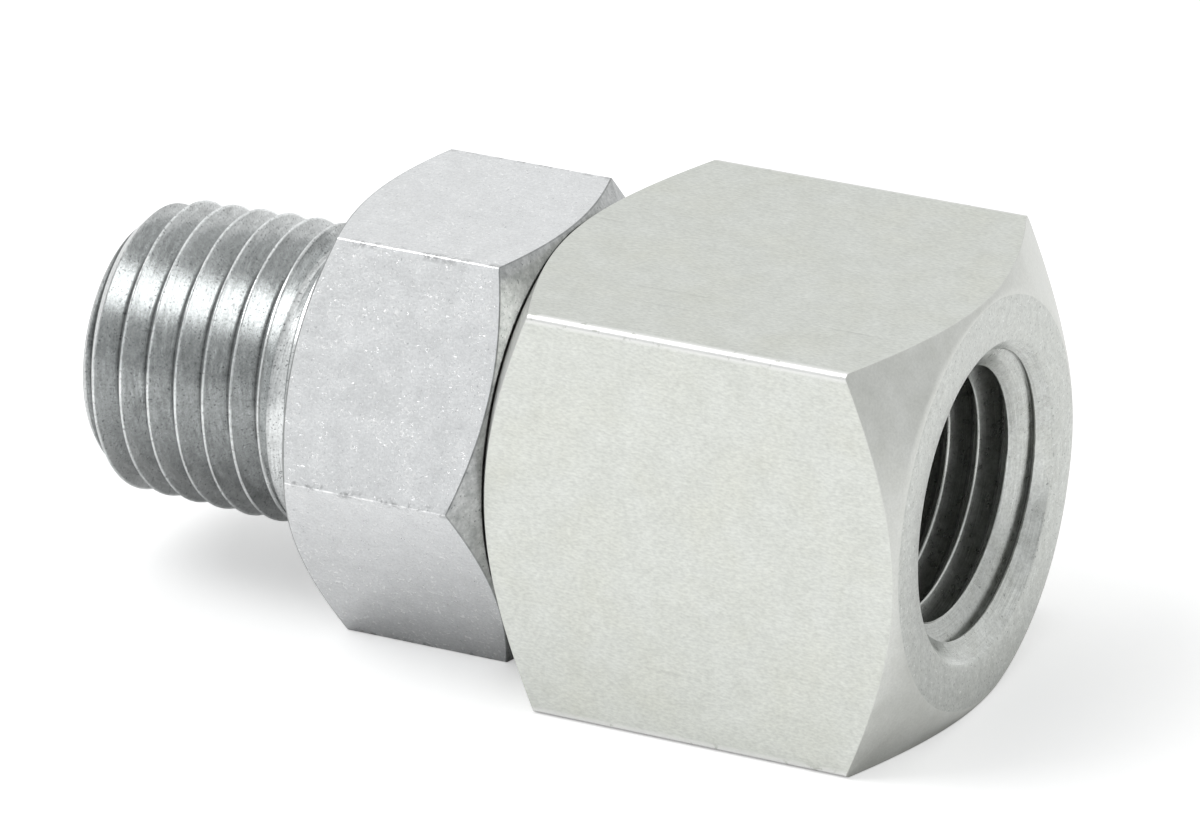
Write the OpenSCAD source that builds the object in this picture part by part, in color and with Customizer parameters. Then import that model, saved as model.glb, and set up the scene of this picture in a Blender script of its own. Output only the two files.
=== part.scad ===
// Straight hydraulic swivel fitting: a hexagon stem with a male tapered pipe thread
// turns on a row of balls inside a square housing with a female tapered pipe thread.
// The swivel axis is X. The origin is the centre of the female port's end face,
// the port opens towards +X, and both bars lie on a flat that faces -Z.

/* [Bars] */
// Square bar of the housing, across its flats
housing_af = 19.05; // [18:0.05:24]
// Radius along the housing's four long edges
housing_edge_r = 0.3; // [0.2:0.05:1.5]
// Distance from the housing's flats to the circle left by its turned chamfers
housing_chamfer_inset = 0.225; // [0.05:0.005:0.8]
// How far the hexagon's flats lie inside the housing's flats
hex_flat_inset = 0; // [-0.8:0.05:0.8]
// Hexagon length
hex_length = 9.75; // [6:0.05:20]
// Distance from the hexagon's flats to the circle left by its turned chamfers
hex_chamfer_inset = 0.125; // [0.05:0.005:0.8]
// Angle between the turned chamfers and the end faces
chamfer_angle = 30; // [15:1:45]

/* [Tapered pipe threads] */
// Threads in one inch of length
threads_per_inch = 18; // [14:1:27]
// Outside diameter of the blank that the male thread is cut on
male_blank_d = 13.716; // [13.4:0.002:14.4]
// Pitch diameter of the male thread at its tip
male_pitch_d = 12.126; // [11.8:0.002:12.6]
// Length from the tip to the hexagon
male_length = 12.25; // [9:0.05:20]
// Length beside the hexagon that has no full thread: the runout and the plain neck
male_plain_length = 3; // [2:0.1:5]
// Distance from the tip to the first thread root
male_first_root = 0.26; // [0.1:0.01:1]
// How far the tip's end face stays inside the first thread root
male_tip_inset = 0.05; // [0:0.01:1]
// Pitch diameter of the female thread at the port face
female_pitch_d = 12.487; // [12.1:0.002:13]
// Diameter of the drill that opens the port before it is tapped
tap_drill_d = 11.11; // [10.6:0.01:11.5]
// Distance from the port face to the first thread root
female_first_root = 0.82; // [0.3:0.01:1.4]
// Depth of the port from its face to the swivel bore
port_depth = 11.2; // [9:0.1:18]
// Drilled length between the last full female thread and the swivel bore
port_plain_length = 1.2; // [0.8:0.1:3]
// How far the mouth's countersink reaches outside the thread root
mouth_margin = 0.39; // [0.1:0.01:0.9]

/* [Waterway] */
// Bore right through the stem
flow_bore_d = 6.35; // [4.8:0.05:7.2]
// Width of the countersink at both ends of the stem's bore
flow_bore_lead = 0.4; // [0.1:0.05:0.8]

/* [Ball bearing] */
// Bore of the housing that the stem's shank turns in
swivel_bore_d = 12.7; // [12.2:0.05:13.6]
// Radial clearance of the shank in the swivel bore
shank_clearance = 0.1; // [0.06:0.01:0.2]
// Diameter of the bearing balls
ball_d = 2.381; // [1.6:0.001:2.7]
// Clearance of the balls in their race, measured at the ball's surface
ball_clearance = 0.03; // [0.02:0.005:0.06]
// Smallest gap between neighbouring balls
ball_spacing = 0.05; // [0.03:0.01:0.4]
// Wall between the dust ring's recess and the ball race or its loading port
race_wall = 0.35; // [0.2:0.01:3]
// Land between the seal groove and the ball race or its loading port
race_land = 0.15; // [0.1:0.01:3]
// Gap between the housing and the hexagon
face_gap = 0.1; // [0.1:0.05:0.8]
// Gap between the shank's end and the step at the port
shank_end_gap = 0.25; // [0.1:0.05:0.8]

/* [Ball loading port] */
// Outside diameter of the set screw that closes the ball loading port
plug_d = 3; // [2.8:0.1:4]
// Depth of the set screw's outer end below the housing's flat
plug_recess = 0.15; // [0:0.05:0.4]
// Radial clearance of the set screw in its hole
plug_clearance = 0.02; // [0.01:0.01:0.05]
// Hexagon socket of the set screw, across its flats
socket_af = 1.5; // [1:0.1:1.8]
// Depth of the set screw's socket
socket_depth = 0.9; // [0.5:0.1:1.2]

/* [Seals] */
// Depth of the seal groove below the swivel bore's wall
gland_depth = 1.4; // [1.3:0.01:1.6]
// Width of the land between the shank's end and the seal groove
gland_land = 0.5; // [0.4:0.05:3]
// Cord diameter of the O-ring before it is squeezed
o_ring_cord_d = 1.78; // [1.7:0.01:2]
// Thickness of the backup ring along the axis
backup_thickness = 1.14; // [0.8:0.01:2]
// Room left along the axis beside the O-ring in its groove
gland_room = 0.06; // [0.02:0.01:0.6]
// Gap between the seals and the bore that turns around them
seal_running_gap = 0.05; // [0.03:0.01:0.1]
// Gap between the seals and the groove that holds them
seal_seat_gap = 0.02; // [0.01:0.01:0.03]
// How far the dust ring's recess reaches outside the swivel bore
dust_recess_step = 1.35; // [0.9:0.05:1.5]
// Depth of the dust ring's recess in the housing
dust_recess_depth = 0.9; // [0.6:0.05:3]
// Running gap between the dust ring and its recess
dust_running_gap = 0.12; // [0.05:0.01:0.2]

/* [Hidden] */
// Diameter gained for each unit of length, the taper of American pipe threads
thread_taper = 1 / 16;
// Angle of a thread flank from the plane across the axis
flank_angle = 30;
thread_pitch = 25.4 / threads_per_inch;
thread_height = 0.8 * thread_pitch;
root_half_width = 0.019 * thread_pitch;
// The last male groove is cut to this share of the depth as the die leaves the blank
runout_depth_share = 0.6;
runout_spacing = 0.92 * thread_pitch;
// Extra length that carries a cut clear of the face it starts from
past = 1;

// Both bars have one wrench size, so that they lie on one plane
hex_af = housing_af - 2 * hex_flat_inset;

swivel_bore_r = swivel_bore_d / 2;
shank_r = swivel_bore_r - shank_clearance;
gland_floor_r = swivel_bore_r - gland_depth;
ball_circle_r = (swivel_bore_r + shank_r) / 2;
race_r = ball_d / 2 + ball_clearance;
race_half_width = max(race_r, plug_d / 2);
dust_recess_r = swivel_bore_r + dust_recess_step;

seal_inner_r = gland_floor_r + seal_seat_gap;
seal_outer_r = swivel_bore_r - seal_running_gap;
seal_height = seal_outer_r - seal_inner_r;
// The squeezed O-ring keeps the area of its round section
o_ring_area = PI * pow(o_ring_cord_d / 2, 2);
o_ring_flat = (o_ring_area - PI * pow(seal_height / 2, 2)) / seal_height;
o_ring_width = o_ring_flat + seal_height;
gland_width = o_ring_width + backup_thickness + 2 * seal_seat_gap + gland_room;

// Places along the axis, from the port face back to the male tip
cavity_floor_x = -port_depth;
shank_end_x = cavity_floor_x - shank_end_gap;
gland_front_x = shank_end_x - gland_land;
gland_back_x = gland_front_x - gland_width;
race_x = gland_back_x - race_land - race_half_width;
dust_recess_x = race_x - race_half_width - race_wall;
housing_back_x = dust_recess_x - dust_recess_depth;
hex_front_x = housing_back_x - face_gap;
hex_back_x = hex_front_x - hex_length;
tip_x = hex_back_x - male_length;

backup_back_x = gland_back_x + seal_seat_gap;
o_ring_back_x = backup_back_x + backup_thickness + seal_seat_gap;

ball_pitch_angle = 2 * asin((ball_d + ball_spacing) / (2 * ball_circle_r));
ball_count = floor(360 / ball_pitch_angle);

male_full_thread = male_length - male_plain_length;
female_full_thread = port_depth - port_plain_length;
male_root_count = floor((male_full_thread - male_first_root) / thread_pitch) + 1;
female_root_count = floor((female_full_thread - female_first_root) / thread_pitch) + 1;

steel_housing = [0.85, 0.86, 0.84];
steel_stem = [0.78, 0.79, 0.81];
steel_ball = [0.93, 0.94, 0.95];
black_rubber = [0.09, 0.09, 0.1];
white_ptfe = [0.95, 0.94, 0.9];
black_oxide = [0.2, 0.2, 0.21];

function ball_name(i) = str("bearing_ball_", i < 9 ? "0" : "", i + 1);

// Radius to the corners of a hexagon of a given width across its flats
function corner_r(across_flats) = across_flats / sqrt(3);
// Radii of the male thread at a distance from its tip
function male_cone_r(d) = male_pitch_d / 2 + thread_taper / 2 * d;
function male_crest_r(d) = min(male_blank_d / 2, male_cone_r(d) + thread_height / 2);
function male_root_r(d) = male_cone_r(d) - thread_height / 2;
// Radii of the female thread at a depth in the port
function female_cone_r(d) = female_pitch_d / 2 - thread_taper / 2 * d;
function female_crest_r(d) = max(tap_drill_d / 2, female_cone_r(d) - thread_height / 2);
function female_root_r(d) = female_cone_r(d) + thread_height / 2;
// Half the width of a thread groove at its open side, from the groove's depth
function groove_half_width(depth) = root_half_width + depth * tan(flank_angle);

// Points [radius, x] of one male groove whose root lies at d from the tip
function male_groove(d, share = 1) =
    let (
        depth = share * (male_crest_r(d) - male_root_r(d)),
        bottom = male_crest_r(d) - depth,
        w = groove_half_width(depth)
    )
    [
        [male_crest_r(d - w), tip_x + d - w],
        [bottom, tip_x + d - root_half_width],
        [bottom, tip_x + d + root_half_width],
        [male_crest_r(d + w), tip_x + d + w]
    ];

// Points [radius, x] of one female groove whose root lies at depth d
function female_groove(d) =
    let (w = groove_half_width(female_root_r(d) - female_crest_r(d)))
    [
        [female_crest_r(d - w), w - d],
        [female_root_r(d), root_half_width - d],
        [female_root_r(d), -root_half_width - d],
        [female_crest_r(d + w), -w - d]
    ];

// Turns [radius, x] outlines about the swivel axis
module turned() {
    rotate([0, 90, 0]) rotate_extrude($fn = 96) children();
}

// A round bar or bore along X between two places
module round_x(r, from_x, to_x) {
    translate([from_x, 0, 0]) rotate([0, 90, 0]) cylinder(h = to_x - from_x, r = r, $fn = 96);
}

// The solid of revolution that turns both ends of a bar to a chamfer
module end_chamfers(flat_r, widest_r, back_x, front_x) {
    drop = (widest_r - flat_r) * tan(chamfer_angle);
    turned() polygon([
        [0, back_x], [flat_r, back_x], [widest_r, back_x + drop],
        [widest_r, front_x - drop], [flat_r, front_x], [0, front_x]
    ]);
}

// The groove that the balls run in, half in the housing and half in the shank
module ball_race() {
    turned() translate([ball_circle_r, race_x]) circle(r = race_r, $fn = 64);
}

module rounded_square(w, r) {
    square([w - 2 * r, w], center = true);
    square([w, w - 2 * r], center = true);
    for (sx = [-1, 1], sy = [-1, 1]) translate([sx, sy] * (w / 2 - r)) circle(r = r, $fn = 48);
}

// The female port: countersunk mouth, tapered thread and the tap drill's wall
module female_port() {
    root_depths = [for (k = [0:female_root_count - 1]) female_first_root + k * thread_pitch];
    lip_r = female_root_r(0) + mouth_margin + past;
    turned() union() {
        polygon(concat(
            [[0, past], [female_crest_r(-past), past]],
            [for (d = root_depths) each female_groove(d)],
            [[tap_drill_d / 2, cavity_floor_x - past], [0, cavity_floor_x - past]]
        ));
        polygon([[0, past], [lip_r, past], [0, past - lip_r]]);
    }
}

// A round bar or hole along Y, centred on the ball row
module loading_hole(r, from_y, to_y) {
    translate([race_x, from_y, 0]) rotate([-90, 0, 0]) cylinder(h = to_y - from_y, r = r, $fn = 48);
}

module swivel_housing() {
    color(steel_housing) difference() {
        intersection() {
            translate([housing_back_x, 0, 0]) rotate([0, 90, 0])
                linear_extrude(-housing_back_x) rounded_square(housing_af, housing_edge_r);
            end_chamfers(housing_af / 2 - housing_chamfer_inset, housing_af, housing_back_x, 0);
        }
        female_port();
        round_x(swivel_bore_r, housing_back_x - past, cavity_floor_x);
        round_x(dust_recess_r, housing_back_x - past, dust_recess_x);
        ball_race();
        loading_hole(plug_d / 2, swivel_bore_r - past, housing_af / 2 + past);
    }
}

module ball_port_plug() {
    inner_y = swivel_bore_r + ball_clearance;
    outer_y = housing_af / 2 - plug_recess;
    color(black_oxide) difference() {
        loading_hole(plug_d / 2 - plug_clearance, inner_y, outer_y);
        translate([race_x, outer_y - socket_depth, 0]) rotate([-90, 0, 0])
            cylinder(h = socket_depth + past, r = corner_r(socket_af), $fn = 6);
        ball_race();
    }
}

// The threaded end: tapered crests that end in the blank's own wall, and a plain neck
module male_end() {
    root_places = [for (k = [0:male_root_count - 1]) male_first_root + k * thread_pitch];
    runout = male_first_root + (male_root_count - 1) * thread_pitch + runout_spacing;
    tip_r = male_root_r(0) - male_tip_inset;
    turned() intersection() {
        polygon(concat(
            [[0, tip_x], [male_root_r(0), tip_x]],
            [for (d = root_places) each [for (p = male_groove(d)) if (p[1] > tip_x) p]],
            male_groove(runout, runout_depth_share),
            [[male_blank_d / 2, hex_back_x + past], [0, hex_back_x + past]]
        ));
        polygon([
            [0, tip_x], [tip_r, tip_x], [tip_r + male_length + past, hex_back_x + past],
            [0, hex_back_x + past]
        ]);
    }
}

// The shank inside the housing, with its seal groove and a chamfered end
module shank() {
    turned() polygon([
        [0, hex_front_x - past], [shank_r, hex_front_x - past],
        [shank_r, gland_back_x], [gland_floor_r, gland_back_x],
        [gland_floor_r, gland_front_x], [shank_r, gland_front_x],
        [shank_r, shank_end_x - gland_land / 2], [shank_r - gland_land / 2, shank_end_x],
        [0, shank_end_x]
    ]);
}

// The waterway, countersunk at both ends
module flow_bore() {
    r = flow_bore_d / 2;
    round_x(r, tip_x - past, shank_end_x + past);
    for (end = [[tip_x, -1], [shank_end_x, 1]])
        turned() polygon([
            [0, end[0] + end[1] * past], [r + flow_bore_lead + past, end[0] + end[1] * past],
            [0, end[0] - end[1] * (r + flow_bore_lead)]
        ]);
}

module hex_stem() {
    color(steel_stem) difference() {
        union() {
            intersection() {
                translate([hex_back_x, 0, 0]) rotate([0, 90, 0]) rotate(30)
                    linear_extrude(hex_length) circle(r = corner_r(hex_af), $fn = 6);
                end_chamfers(hex_af / 2 - hex_chamfer_inset, hex_af, hex_back_x, hex_front_x);
            }
            male_end();
            shank();
        }
        flow_bore();
        ball_race();
    }
}

module bearing_ball(i) {
    color(steel_ball) translate([race_x, 0, 0]) rotate([360 / ball_count * i, 0, 0])
        translate([0, ball_circle_r, 0]) sphere(d = ball_d, $fn = 48);
}

module seal_o_ring() {
    h = seal_height / 2;
    color(black_rubber) turned()
        translate([seal_inner_r + h, o_ring_back_x + o_ring_width / 2]) union() {
            square([seal_height, o_ring_flat], center = true);
            for (s = [-1, 1]) translate([0, s * o_ring_flat / 2]) circle(r = h, $fn = 48);
        }
}

module backup_ring() {
    color(white_ptfe) turned() translate([seal_inner_r, backup_back_x])
        square([seal_height, backup_thickness]);
}

module dust_ring() {
    inner_r = shank_r + seal_seat_gap;
    outer_r = dust_recess_r - dust_running_gap;
    back_x = hex_front_x + seal_seat_gap;
    front_x = dust_recess_x - dust_running_gap;
    bevel = dust_recess_depth / 4;
    color(black_rubber) turned() polygon([
        [inner_r, back_x], [outer_r, back_x], [outer_r, front_x - bevel],
        [outer_r - bevel, front_x], [inner_r, front_x]
    ]);
}

swivel_housing();
ball_port_plug();
hex_stem();
seal_o_ring();
backup_ring();
dust_ring();
for (i = [0:ball_count - 1]) bearing_ball(i);
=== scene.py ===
"""Dresses the straight hydraulic swivel fitting: helical pipe threads, plated steel and a pale studio."""
import logging
import math
from dataclasses import dataclass, field
from enum import Enum, IntEnum, StrEnum
from statistics import NormalDist

import bmesh
import bpy
import numpy as np
from mathutils import Matrix, Vector


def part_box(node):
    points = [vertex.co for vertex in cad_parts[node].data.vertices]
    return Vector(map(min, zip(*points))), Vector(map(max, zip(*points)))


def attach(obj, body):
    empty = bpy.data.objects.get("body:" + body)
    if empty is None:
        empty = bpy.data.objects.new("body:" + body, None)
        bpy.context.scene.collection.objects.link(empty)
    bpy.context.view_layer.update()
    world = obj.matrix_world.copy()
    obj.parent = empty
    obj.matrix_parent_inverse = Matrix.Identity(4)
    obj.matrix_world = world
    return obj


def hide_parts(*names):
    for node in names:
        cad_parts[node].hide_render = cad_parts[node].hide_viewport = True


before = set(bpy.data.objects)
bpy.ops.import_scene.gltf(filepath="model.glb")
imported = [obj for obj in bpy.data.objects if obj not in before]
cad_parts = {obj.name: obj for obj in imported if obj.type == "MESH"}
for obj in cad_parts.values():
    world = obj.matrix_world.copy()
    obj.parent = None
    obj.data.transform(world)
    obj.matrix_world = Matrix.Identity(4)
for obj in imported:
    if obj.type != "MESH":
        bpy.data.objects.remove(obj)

LOG = logging.getLogger("swivel_fitting")
METRES = 0.001
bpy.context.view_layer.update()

# Both threads have 18 turns to the inch, and their radius changes by 1 in 32 along the axis.
PITCH = 25.4 / 18
PIPE_TAPER = 1 / 32
DRILL_SEGMENTS = 64

# Blender's noise scatters about its middle like a bell curve, mostly between these two values.
NOISE_MIDDLE = 0.5
NOISE_SPREAD = 0.085
NOISE_LOW = 0.3
NOISE_HIGH = 0.7

Tree = bpy.types.NodeTree
Socket = bpy.types.NodeSocket
Outputs = bpy.types.NodeOutputs
Triple = tuple[float, float, float]
Line = list[tuple[float, float]]
Finishes = dict[str, bpy.types.Material]


class Side(Enum):
    """Which side of a thread's wall the metal is on, as the sign of the radius."""

    OUTSIDE = 1
    INSIDE = -1


class Node(StrEnum):
    """Kinds of shader node, by what they do here."""

    PLACE = "ShaderNodeTexCoord"
    NOISE = "ShaderNodeTexNoise"
    STRETCH = "ShaderNodeMapping"
    SPLIT = "ShaderNodeSeparateXYZ"
    JOIN = "ShaderNodeCombineXYZ"
    MATH = "ShaderNodeMath"
    VECTOR = "ShaderNodeVectorMath"
    RANGE = "ShaderNodeMapRange"
    MIX = "ShaderNodeMix"
    RELIEF = "ShaderNodeBump"
    SOLID = "ShaderNodeBsdfPrincipled"
    PAPER = "ShaderNodeBsdfDiffuse"
    GLOW = "ShaderNodeEmission"
    BOTH = "ShaderNodeAddShader"
    RAY = "ShaderNodeLightPath"
    OPENNESS = "ShaderNodeAmbientOcclusion"
    SURROUNDINGS = "ShaderNodeBackground"
    MATERIAL_END = "ShaderNodeOutputMaterial"
    WORLD_END = "ShaderNodeOutputWorld"


class HousingZone(IntEnum):
    """Stretches of the housing's section by finish, in the order of its material slots."""

    DRAWN_BAR = 0
    TURNED_CHAMFER = 1
    TAPPED_PORT = 2
    RUNNING_SURFACE = 3
    FACED_RING = 4


class StemZone(IntEnum):
    """Stretches of the stem's section by finish, in the order of its material slots."""

    BLASTED_HEXAGON = 0
    CUT_THREAD = 1
    RUNNING_SURFACE = 2
    HEXAGON_CHAMFER = 3
    SOILED_EDGE = 4
    TURNED_NECK = 5


def rgba(hex_colour: str) -> tuple[float, float, float, float]:
    """Turns an sRGB hex colour into linear values.

    Args:
        hex_colour: Six hex digits after a hash sign.

    Returns:
        Linear red, green and blue, and an alpha of 1.
    """
    parts = [int(hex_colour[i : i + 2], 16) / 255 for i in (1, 3, 5)]
    linear = [c / 12.92 if c <= 0.04045 else ((c + 0.055) / 1.055) ** 2.4 for c in parts]
    return (*linear, 1.0)


def per_metre(size_mm: float) -> float:
    """Gives a texture's scale for cells of a size in millimetres."""
    return 1 / (size_mm * METRES)


def noise_level(share: float) -> float:
    """Gives the value that noise passes on a share of the surface."""
    return NOISE_MIDDLE + NOISE_SPREAD * NormalDist().inv_cdf(1 - share)


def node_box(node: str) -> tuple[np.ndarray, np.ndarray]:
    """Gives a node's lowest and highest corners in millimetres."""
    low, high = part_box(node)
    return np.array(low) / METRES, np.array(high) / METRES


def ball_race(clearance: float) -> Triple:
    """Finds the ball race from the first bearing ball.

    Args:
        clearance: Room round each ball in millimetres.

    Returns:
        The race's place along the axis, the radius of the ball circle and that of the groove.
    """
    low, high = node_box("bearing_ball_01")
    return (
        float(low[0] + high[0]) / 2,
        float(low[1] + high[1]) / 2,
        float(high[0] - low[0]) / 2 + clearance,
    )


def add_node(
    tree: Tree, kind: Node, *ordered: object, named: dict[int | str, object] | None = None, **sets: object
) -> Outputs:
    """Adds one node with its settings, its constant inputs and its links.

    Args:
        tree: Node tree that takes the node.
        kind: Kind of the node.
        *ordered: Constants, or outputs of other nodes, for its inputs in order.
        named: The same for single inputs, by name or index.
        **sets: Properties of the node.

    Returns:
        The node's outputs.
    """
    node = tree.nodes.new(kind.value)
    for name, value in sets.items():
        setattr(node, name, value)
    for key, value in {**dict(enumerate(ordered)), **(named or {})}.items():
        if isinstance(value, Socket):
            tree.links.new(value, node.inputs[key])
        else:
            node.inputs[key].default_value = value
    return node.outputs


def cleared_tree(owner: bpy.types.Material | bpy.types.World) -> Tree:
    """Gives the emptied node tree of a material or world."""
    owner.use_nodes = True
    owner.node_tree.nodes.clear()
    return owner.node_tree


@dataclass(frozen=True)
class BarOutline:
    """A bar with flat sides and rounded edges, as a radius at each angle about its axis.

    Angles are in radians about the swivel axis, from +Y towards +Z.
    """

    sides: int
    flat_r: float
    edge_r: float
    first_corner: float
    least_step: float = 0.3

    def corner_angles(self) -> np.ndarray:
        """Gives the angles of the bar's edges."""
        return self.first_corner + np.arange(self.sides) * 2 * math.pi / self.sides

    def round_half_angle(self) -> float:
        """Measures the rounding of an edge.

        Returns:
            The angle between the edge's middle and the end of its rounding.
        """
        half = math.pi / self.sides
        centre = (self.flat_r - self.edge_r) / math.cos(half)
        return math.atan2(self.edge_r * math.sin(half), centre + self.edge_r * math.cos(half))

    def angles(self, even: int, edge_steps: int) -> np.ndarray:
        """Places the mesh's columns: evenly all round, and closer over each rounded edge.

        Args:
            even: Number of evenly spaced columns, less those too near to an edge's own.
            edge_steps: Number of steps over half of an edge's rounding.

        Returns:
            Sorted angles from 0 to a full turn.
        """
        turn = 2 * math.pi
        close = self.round_half_angle() * np.arange(-edge_steps, edge_steps + 1) / edge_steps
        edges = (self.corner_angles()[:, None] + close[None, :]).ravel() % turn
        spread = np.arange(even) * turn / even
        gap = np.abs((spread[:, None] - edges[None, :] + math.pi) % turn - math.pi).min(axis=1)
        return np.sort(np.concatenate([spread[gap > self.least_step * turn / even], edges]))

    def radius(self, angle: float) -> float:
        """Gives the outline's radius at an angle.

        Args:
            angle: Angle about the swivel axis.

        Returns:
            The radius in millimetres.
        """
        half = math.pi / self.sides
        away = (angle - self.first_corner + half) % (2 * half) - half
        if abs(away) >= self.round_half_angle():
            return self.flat_r / math.cos(half - abs(away))
        centre = (self.flat_r - self.edge_r) / math.cos(half)
        return centre * math.cos(away) + math.sqrt(self.edge_r**2 - (centre * math.sin(away)) ** 2)


@dataclass(frozen=True)
class PipeThread:
    """A right-handed tapered pipe thread, as the line that its wall follows at each angle.

    Lengths are in millimetres. Depth runs from the thread's open end. The entry is the
    cone at the open end: the lead chamfer of a male thread, or a port's countersink. A
    signed radius is negative in a port, so that more of it always means more metal.
    """

    side: Side
    open_x: float
    pitch_r: float
    wall_r: float
    entry_r: float
    length: float
    full_length: float
    first_root: float
    entry_slope: float = 1.0
    start: float = 0.06
    height_share: float = 0.8
    flank_deg: float = 30.0
    root_flat_share: float = 0.019
    runout_lift: float = 0.1
    crest_break: float = 0.03
    break_share: float = 0.3
    root_round: float = 0.045
    burr: float = 0.003
    near_burr: tuple[float, ...] = (47.0, 0.0, 5.3, 1.1)
    far_burr: tuple[float, ...] = (59.0, 0.7, 3.7, 0.0)
    halvings: int = 26
    points_per_turn: int = 8

    @property
    def height(self) -> float:
        """Depth of the thread from crest to root."""
        return self.height_share * PITCH

    @property
    def rise(self) -> float:
        """Rise of a flank for each length along the axis."""
        return 1 / math.tan(math.radians(self.flank_deg))

    def place(self, depth: float) -> float:
        """Gives the place of a depth along the swivel axis."""
        return self.open_x + self.side.value * depth

    def cone(self, depth: float) -> float:
        """Gives the signed radius of the pitch cone."""
        return self.side.value * self.pitch_r + PIPE_TAPER * depth

    def envelope(self, depth: float) -> float:
        """Gives the signed radius of the wall before its grooves are cut."""
        crest = min(self.side.value * self.wall_r, self.cone(depth) + self.height / 2)
        return min(crest, self.side.value * self.entry_r + self.entry_slope * depth)

    def runout(self, depth: float) -> float:
        """Gives how far the groove's root has risen, where the tool's lead leaves the wall."""
        t = min(max((depth - self.full_length) / PITCH, 0.0), 1.0)
        return t * t * (3 - 2 * t) * (self.height + self.runout_lift)

    def rows(self, angle: float) -> Line:
        """Gives the wall's line at an angle, from the open end to the thread's far end.

        Args:
            angle: Angle about the swivel axis, in radians from +Y towards +Z.

        Returns:
            Places along the axis with their radius, as many at every angle.
        """
        turns = int(math.ceil((self.full_length + PITCH) / PITCH)) + 2
        advance = self.side.value * angle / (2 * math.pi)
        grooves = [self._groove(turn + advance) for turn in range(-2, turns + 1)]
        breaks = self._breaks()
        rows: list[tuple[float, float | None]] = []
        for groove, following in zip(grooves[:-1], grooves[1:]):
            rows.extend(groove)
            left, right = groove[-1][0], following[0][0]
            inside = [b for b in breaks if left < b < right]
            rows.append((inside[0] if inside else (left + right) / 2, None))
        placed = []
        for depth, signed in rows:
            clamped = min(max(depth, self.start), self.length)
            if signed is None or clamped != depth:
                signed = self.envelope(clamped)
            placed.append((self.place(clamped), self.side.value * signed))
        return placed

    def _groove(self, turn: float) -> list[tuple[float, float | None]]:
        """Gives the points of one groove, with flats and breaks at its root and crests.

        Args:
            turn: Turns of the helix from its first root.

        Returns:
            Depths with their signed radius, or with None where they lie on the envelope.
        """
        centre = self.first_root + PITCH * turn
        lifted = self.runout(centre)
        root = self.cone(centre) - self.height / 2 + lifted
        if centre <= self.start or centre >= self.length or root >= self.envelope(centre):
            return [(centre, None)] * (self.points_per_turn - 1)
        # The lead of a die or tap is cut short, so a shallow groove keeps its width and has a flat root.
        half_flat = self.root_flat_share * PITCH + lifted / self.rise
        near = self._edge(centre, root, half_flat, -1)
        far = self._edge(centre, root, half_flat, 1)
        knee = min(half_flat + self.root_round, near, far)
        lift = root + max(knee - half_flat, 0.0) * self.rise
        cut = min(self.crest_break, near * self.break_share, far * self.break_share)
        helix = 2 * math.pi * turn
        return [
            (centre - near - cut + self._burr(helix, *self.near_burr), None),
            (centre - near + cut, root + max(near - cut - half_flat, 0.0) * self.rise),
            (centre - knee, lift),
            (centre, root),
            (centre + knee, lift),
            (centre + far - cut, root + max(far - cut - half_flat, 0.0) * self.rise),
            (centre + far + cut + self._burr(helix, *self.far_burr), None),
        ]

    def _edge(self, centre: float, root: float, half_flat: float, way: int) -> float:
        """Finds where one flank of a groove meets the envelope.

        Args:
            centre: Depth of the groove's root.
            root: Signed radius of the root.
            half_flat: Half the width of the root's flat.
            way: 1 for the flank on the deeper side, -1 for the one nearer the open end.

        Returns:
            The distance from the groove's centre to the meeting point.
        """
        low, high = 0.0, PITCH
        for _ in range(self.halvings):
            middle = (low + high) / 2
            if root + max(middle - half_flat, 0.0) * self.rise < self.envelope(centre + way * middle):
                low = middle
            else:
                high = middle
        return low

    def _burr(self, helix: float, fine: float, fine_shift: float, long: float, long_shift: float) -> float:
        """Gives how far a crest's edge strays: a fine wave that comes and goes in a long one.

        Args:
            helix: Angle along the helix.
            fine: Fine waves in each radian.
            fine_shift: Start of the fine wave.
            long: Long waves in each radian.
            long_shift: Start of the long wave.

        Returns:
            The distance along the axis.
        """
        return self.burr * math.sin(fine * helix + fine_shift) * math.sin(long * helix + long_shift)

    def _breaks(self) -> list[float]:
        """Finds where the envelope changes from entry to taper and from taper to plain wall.

        Returns:
            The two depths.
        """
        sign = self.side.value
        crest = sign * self.pitch_r + self.height / 2
        entry_end = (crest - sign * self.entry_r) / (self.entry_slope - PIPE_TAPER)
        wall_start = (sign * self.wall_r - crest) / PIPE_TAPER
        return [entry_end, wall_start]


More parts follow.
